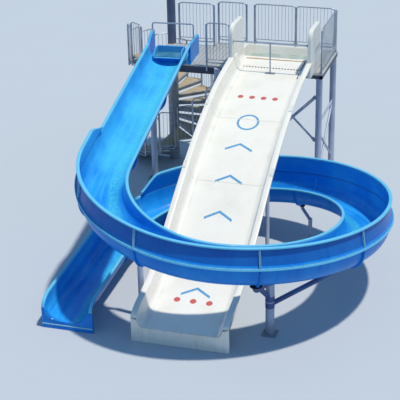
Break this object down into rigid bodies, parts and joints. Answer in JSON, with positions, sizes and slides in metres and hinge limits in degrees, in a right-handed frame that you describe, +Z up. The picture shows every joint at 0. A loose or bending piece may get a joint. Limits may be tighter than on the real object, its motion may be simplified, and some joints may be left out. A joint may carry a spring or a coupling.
{
  "type": "water slide tower",
  "caption": "Poolside platform on steel columns with a spiral stair, a straight wide white slide and an open blue flume that winds once round under it to the water.",
  "frame": {"origin": "the middle of the whole part's plan, at the level of the water and of the feet", "axes": "+Y from the pool towards the platform, along the straight slide; +X along the pool edge, to the right as a rider on the straight slide looks back up; +Z up"},
  "size_m": [9.252, 13.1166, 5.612],
  "materials": {
    "blue_gelcoat": "wet blue gelcoat on glass-fibre plastic, worn to turquoise along the floor",
    "white_gelcoat": "warm white gelcoat on glass-fibre plastic, with water stains",
    "galvanised_steel": "galvanised steel tube with a weathered blue-grey coat",
    "rail_steel": "galvanised steel tube, light grey",
    "dark_steel": "dark painted steel channel",
    "deck_plate": "pale chequered platform plate, dulled by water",
    "stair_tread": "sand-coloured slip-resistant treads with pale worn nosings"
  },
  "bodies": {
    "root": {"flume_chute_upper": "blue_gelcoat", "flume_chute_lower": "blue_gelcoat", "flume_turn_1": "blue_gelcoat", "flume_turn_2": "blue_gelcoat", "flume_turn_3": "blue_gelcoat", "flume_turn_4": "blue_gelcoat", "flume_turn_5": "blue_gelcoat", "flume_turn_6": "blue_gelcoat", "flume_turn_7": "blue_gelcoat", "flume_turn_8": "blue_gelcoat", "flume_run_out": "blue_gelcoat", "flume_exit": "blue_gelcoat", "splash_wall_1": "blue_gelcoat", "splash_wall_2": "blue_gelcoat", "splash_wall_3": "blue_gelcoat", "splash_wall_4": "blue_gelcoat", "splash_wall_5": "blue_gelcoat", "splash_wall_6": "blue_gelcoat", "splash_wall_7": "blue_gelcoat", "splash_wall_8": "blue_gelcoat", "flume_start_walls": "blue_gelcoat", "flume_start_trough": "blue_gelcoat", "flume_start_bar": "rail_steel", "wide_slide_upper": "white_gelcoat", "wide_slide_middle": "white_gelcoat", "wide_slide_lower": "white_gelcoat", "wide_slide_exit": "white_gelcoat", "wide_slide_start": "white_gelcoat", "wide_slide_bar": "rail_steel", "deck_floor": "deck_plate", "deck_frame": "dark_steel", "column_front_right": "galvanised_steel", "column_back_right": "galvanised_steel", "column_front_middle": "galvanised_steel", "column_back_middle": "galvanised_steel", "column_front_left": "galvanised_steel", "brace_right": "galvanised_steel", "brace_front": "galvanised_steel", "railing_back_left": "rail_steel", "railing_back_right": "rail_steel", "railing_right": "rail_steel", "railing_front": "rail_steel", "railing_well": "rail_steel", "stair_pole": "galvanised_steel", "stair_flight_lower": "stair_tread", "stair_flight_upper": "stair_tread", "stair_railing_1": "rail_steel", "stair_railing_2": "rail_steel", "stair_railing_3": "rail_steel", "stair_railing_4": "rail_steel", "support_front_left": "galvanised_steel", "support_back_right": "galvanised_steel", "support_back_left": "galvanised_steel", "support_front_right": "galvanised_steel", "wide_slide_trestle": "galvanised_steel"}
  },
  "joints": []
}
